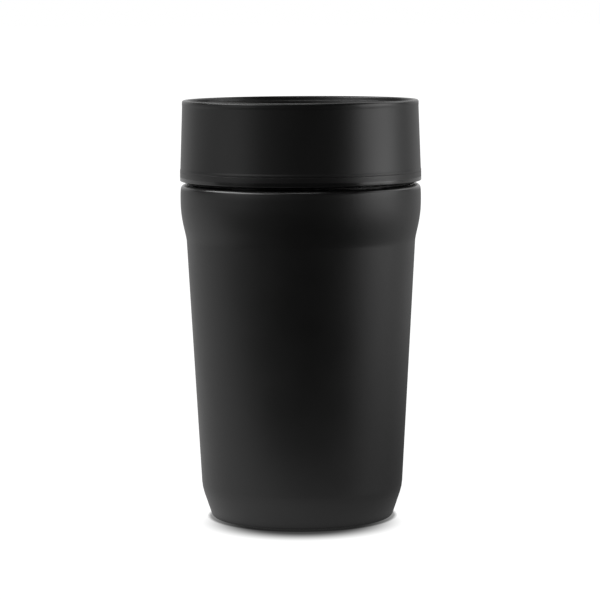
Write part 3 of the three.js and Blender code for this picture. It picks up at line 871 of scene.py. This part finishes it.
def latch_rotor():
    """The ring on the stem, with four lugs that run in the cam's track."""
    ring_r = 5.45
    body = ring("cam_rotor", STEM_R + 0.35, ring_r, low("latch_rotor"), top("latch_rotor"), 0.3)
    lugs = []
    for quarter in range(4):
        mesh = bmesh.new()
        bmesh.ops.create_cone(mesh, cap_ends=True, segments=32, radius1=0.9, radius2=0.9, depth=2)
        rims = [e for e in mesh.edges if abs(e.verts[0].co.z - e.verts[1].co.z) < SAME]
        bmesh.ops.bevel(mesh, geom=rims, offset=0.2, segments=3, affect="EDGES")
        place = (Matrix.Rotation(math.radians(LATCH_PERIOD * quarter), 4, "Z")
                 @ Matrix.Scale(MM, 4)
                 @ Matrix.Translation((ring_r + 0.45, 0, LATCH_TOP))
                 @ Matrix.Rotation(math.pi / 2, 4, "Y"))
        bmesh.ops.transform(mesh, matrix=place, verts=mesh.verts)
        lugs.append(made("lug", mesh))
    return combined(body, lugs, "UNION")


def return_spring():
    """A compression spring of round wire, with one closed turn at each end."""
    wire_r = 0.5
    coil_r = 4.7
    turns = 7
    steps = 48
    wire_sides = 16
    closed_pitch = 2 * wire_r + 0.02
    base = low("return_spring") + wire_r
    height = top("return_spring") - wire_r - base
    open_pitch = (height - 2 * closed_pitch) / (turns - 2)
    mesh = bmesh.new()
    loops = []
    for k in range(turns * steps + 1):
        turn = k / steps
        closed = min(turn, 1) + max(0, turn - turns + 1)
        z = base + closed_pitch * closed + open_pitch * (turn - closed)
        out = Vector((math.cos(2 * math.pi * turn), math.sin(2 * math.pi * turn), 0))
        along = Vector((-out.y * coil_r, out.x * coil_r, open_pitch / (2 * math.pi))).normalized()
        reflected_glow_across = along.cross(out)
        centre = out * coil_r + Vector((0, 0, z))
        loop = []
        for j in range(wire_sides):
            a = 2 * math.pi * j / wire_sides
            point = centre + wire_r * (out * math.cos(a) + reflected_glow_across * math.sin(a))
            loop.append(mesh.verts.new(point * MM))
        loops.append(loop)
    for loop, following in zip(loops, loops[1:]):
        for j in range(wire_sides):
            n = (j + 1) % wire_sides
            mesh.faces.new((loop[j], loop[n], following[n], following[j]))
    mesh.faces.new(loops[0])
    mesh.faces.new(loops[-1])
    return made("valve_spring", mesh)


# ------------------------------------------------------------------ every piece on its body
placed(outer_shell(), "cup", COAT, "outer_shell")
placed(inner_liner(), "cup", LINER_STEEL, "inner_liner")
placed(base_cap(), "cup", CAP_STEEL, "base_cap")
placed(vacuum_port_plug(), "cup", SOLDER, "vacuum_port_plug")
placed(foot_pad(), "cup", BLACK_SILICONE, "foot_pad")
placed(getter_pellet(), "cup", SOLDER, "getter_pellet")
placed(getter_clip(), "cup", DRAWN_STEEL, "getter_clip")
placed(foil_wrap(), "cup", COPPER_FOIL, "foil_wrap")

placed(drinking_collar(), "lid", COLLAR_PLASTIC, "drinking_collar")
placed(threaded_base(), "lid", BASE_PLASTIC, "threaded_base")
placed(valve_cage(), "lid", INNER_PLASTIC, "valve_cage")
placed(latch_housing(), "lid", INNER_PLASTIC, "latch_housing")
placed(cam_sleeve(), "lid", ACETAL, "cam_sleeve")
placed(ring("collar_gasket", 37.4, reach("collar_seal"), low("collar_seal"), top("collar_seal"),
            0.2, WIDE_SEGMENTS), "lid", BLACK_SILICONE, "collar_seal")
placed(ring("stem_gasket", SOCKET_R, reach("stem_seal"), low("stem_seal"), top("stem_seal")),
       "lid", CLEAR_SILICONE, "stem_seal")
spring = placed(return_spring(), "lid", DRAWN_STEEL, "return_spring")
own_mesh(spring)
placed(neck_gasket(), "gasket", BLACK_SILICONE, "neck_gasket")

placed(push_plate(), "plunger", COLLAR_PLASTIC, "push_plate")
placed(thumb_pad(), "plunger", BLACK_SILICONE, "thumb_pad")
placed(stem_screw("plate_bolt", top("plate_screw") - SCREW_HEAD, -1), "plunger", DRAWN_STEEL,
       "plate_screw")
placed(valve_stem(), "plunger", ACETAL, "valve_stem")
placed(valve_disc(), "plunger", INNER_PLASTIC, "valve_disc")
placed(valve_seal(), "plunger", CLEAR_SILICONE, "valve_seal")
placed(ring("disc_shim", SCREW_SHANK_R + GAP, reach("disc_washer"), low("disc_washer"),
            top("disc_washer"), 0.12), "plunger", DRAWN_STEEL, "disc_washer")
placed(stem_screw("disc_bolt", low("disc_screw") + SCREW_HEAD, 1), "plunger", DRAWN_STEEL,
       "disc_screw")
placed(ring("spring_shim", SOCKET_R, reach("spring_washer"), low("spring_washer"),
            top("spring_washer"), 0.15), "plunger", DRAWN_STEEL, "spring_washer")
placed(latch_rotor(), "rotor", INNER_PLASTIC, "latch_rotor")


# ------------------------------------------------------------------ camera, floor and light
MIDDLE = Vector((0, 0, 0.08))
CAMERA_PLACE = (-0.00047, -0.999, 0.1855)
CAMERA_TILT = 6.047      # degrees below level
CAMERA_ROLL = -0.3
SHADE_MIDDLE = (0, -0.0148, 0)
SHADE_DARK_R = 0.0215    # metres from there to where the painted cast shadow is darkest, and to its end
SHADE_END_R = 0.0395
CONTACT_SHADE_REACH = 0.003          # reach of the painted contact shade under the foot, in metres
DARK_FRONT_FROM = -0.11        # Y between which the painted darkness in front gives way to the glow that the mug sees of the floor
DARK_FRONT_TO = -0.08
BACKDROP = 0.75          # radiance of the room behind the mug


def toward(azimuth, elevation, distance):
    """A place seen from the middle of the mug. Azimuth 0 is the camera's side, 90 is +X."""
    a, e = math.radians(azimuth), math.radians(elevation)
    direction = Vector((math.sin(a) * math.cos(e), -math.cos(a) * math.cos(e), math.sin(e)))
    return MIDDLE + distance * direction


def softbox(name, azimuth, elevation, distance, width, height, radiance):
    """A rectangular softbox turned to the mug, with a face of a given radiance."""
    light = bpy.data.lights.new(name, "AREA")
    light.shape = "RECTANGLE"
    light.size = width
    light.size_y = height
    light.energy = radiance * math.pi * width * height
    lamp = bpy.data.objects.new(name, light)
    lamp.location = toward(azimuth, elevation, distance)
    lamp.rotation_euler = (MIDDLE - lamp.location).to_track_quat("-Z", "Y").to_euler()
    bpy.context.scene.collection.objects.link(lamp)


def camera():
    """One metre in front of the mug and a little above its rim, as a long lens sees it."""
    data = bpy.data.cameras.new("camera")
    data.lens = 164.42
    data.sensor_width = 36
    data.dof.use_dof = False
    cam = bpy.data.objects.new("camera", data)
    cam.matrix_world = (Matrix.Translation(CAMERA_PLACE)
                        @ Matrix.Rotation(math.pi / 2 - math.radians(CAMERA_TILT), 4, "X")
                        @ Matrix.Rotation(math.radians(CAMERA_ROLL), 4, "Z"))
    bpy.context.scene.collection.objects.link(cam)
    bpy.context.scene.camera = cam


def floor():
    """White paper, drawn as a glowing surface: to the camera pure white but for a painted shadow round
    the foot in the floor's own coordinates, and a thin painted contact shade where the foot stands.
    What the mug sees of its glow is dimmer, painted lighter and darker from left to right, painted
    dark close round the foot, and painted dark in front."""
    mesh = bmesh.new()
    bmesh.ops.create_grid(mesh, x_segments=1, y_segments=1, size=30)
    piece = made("floor", mesh)
    s = Shader("floor_paper")
    where = s.node("SeparateXYZ", {"Vector": s.place})
    away = s.node("VectorMath", {0: s.place, 1: SHADE_MIDDLE}, operation="DISTANCE")
    # painted shadow: the glow is dimmed in a disc round the foot, fixed in the floor's coordinates
    painted_shadow = s.node("MapRange", {
        "Value": away.outputs["Value"], "From Min": SHADE_DARK_R, "From Max": SHADE_END_R,
        "To Min": 0.06, "To Max": 1.1}, interpolation_type="SMOOTHSTEP").outputs["Result"]
    # painted contact shade: the glow is dimmed where the foot is near
    contact_shade = s.node("AmbientOcclusion", {"Distance": CONTACT_SHADE_REACH}, samples=16).outputs["AO"]
    paper = s.tinted(s.noise(40, 3), 0.98, 1.0)
    strength = s.math("MULTIPLY", painted_shadow, s.between(contact_shade, 0.3, 1.0, 0.5, 0.8))
    seen = s.node("Emission", {"Color": paper, "Strength": strength}).outputs["Emission"]
    # painted reflection: the floor's glow as the mug sees it, made brighter and darker from left to
    # right
    reflected_glow_across = s.ramp(s.between(where.outputs["X"], 0.0, 1.0, -0.5, 0.5),
                    [(0.47, 0.72), (0.57, 0.16), (0.68, 0.2), (0.85, 0.6)])
    # painted darkness in front of the mug, in that glow
    past_painted_dark_front = s.between(where.outputs["Y"], 0.0, 1.0, DARK_FRONT_FROM, DARK_FRONT_TO)
    # painted shade in that glow, close round the foot
    from_axis = s.node("VectorMath", {0: s.place}, operation="LENGTH").outputs["Value"]
    foot_shade_in_reflection = s.between(from_axis, 0.3, 1.0, 0.033, 0.0355)
    # the glow that only the mug's reflections and bounced light see: a painted reflection
    painted_reflected_floor = s.node("Emission", {
        "Color": reflected_glow_across, "Strength": s.math("MULTIPLY", past_painted_dark_front, foot_shade_in_reflection)}).outputs["Emission"]
    for_camera = s.node("LightPath").outputs["Is Camera Ray"]
    mix = s.node("MixShader", {0: for_camera, 1: painted_reflected_floor, 2: seen}).outputs["Shader"]
    s.tree.links.new(mix, s.tree.nodes["Material Output"].inputs["Surface"])
    piece.data.materials.append(s.material)


def world():
    """White to the camera. To the mug, a bright backdrop behind it and a dark room in front."""
    w = bpy.data.worlds.new("studio")
    bpy.context.scene.world = w
    w.use_nodes = True
    nodes, links = w.node_tree.nodes, w.node_tree.links
    room = nodes["Background"]
    room.inputs["Color"].default_value = (1, 1, 1, 1)
    seen = nodes.new("ShaderNodeBackground")
    seen.inputs["Color"].default_value = (1, 1, 1, 1)
    direction = nodes.new("ShaderNodeTexCoord")
    split = nodes.new("ShaderNodeSeparateXYZ")
    links.new(direction.outputs["Generated"], split.inputs["Vector"])
    fade = nodes.new("ShaderNodeMapRange")
    fade.interpolation_type = "SMOOTHSTEP"
    for socket, value in (("From Min", 0.5), ("From Max", 0.8), ("To Min", 0.0),
                          ("To Max", BACKDROP)):
        fade.inputs[socket].default_value = value
    links.new(split.outputs["Y"], fade.inputs["Value"])
    links.new(fade.outputs["Result"], room.inputs["Strength"])
    path = nodes.new("ShaderNodeLightPath")
    mix = nodes.new("ShaderNodeMixShader")
    links.new(path.outputs["Is Camera Ray"], mix.inputs["Fac"])
    links.new(room.outputs["Background"], mix.inputs[1])
    links.new(seen.outputs["Background"], mix.inputs[2])
    links.new(mix.outputs["Shader"], nodes["World Output"].inputs["Surface"])


camera()
floor()
world()
for softbox_values in (
        # name, azimuth, elevation, distance, width, height, radiance
        ("left_box", -84, 43, 2.0, 1.9, 0.66, 6.6),
        ("left_front", -42, 40, 2.0, 0.9, 0.7, 1.4),
        ("left_fill", -64, 12, 2.0, 1.1, 0.9, 0.8),
        ("top_front", -25, 74, 2.0, 1.3, 0.5, 4.0),
        ("right_strip", 79, 6, 1.3, 0.95, 0.4, 4.1),
        ("right_fill", 108, 34, 2.0, 1.9, 1.0, 1.6)):
    softbox(*softbox_values)
bpy.context.scene.view_settings.view_transform = "Standard"
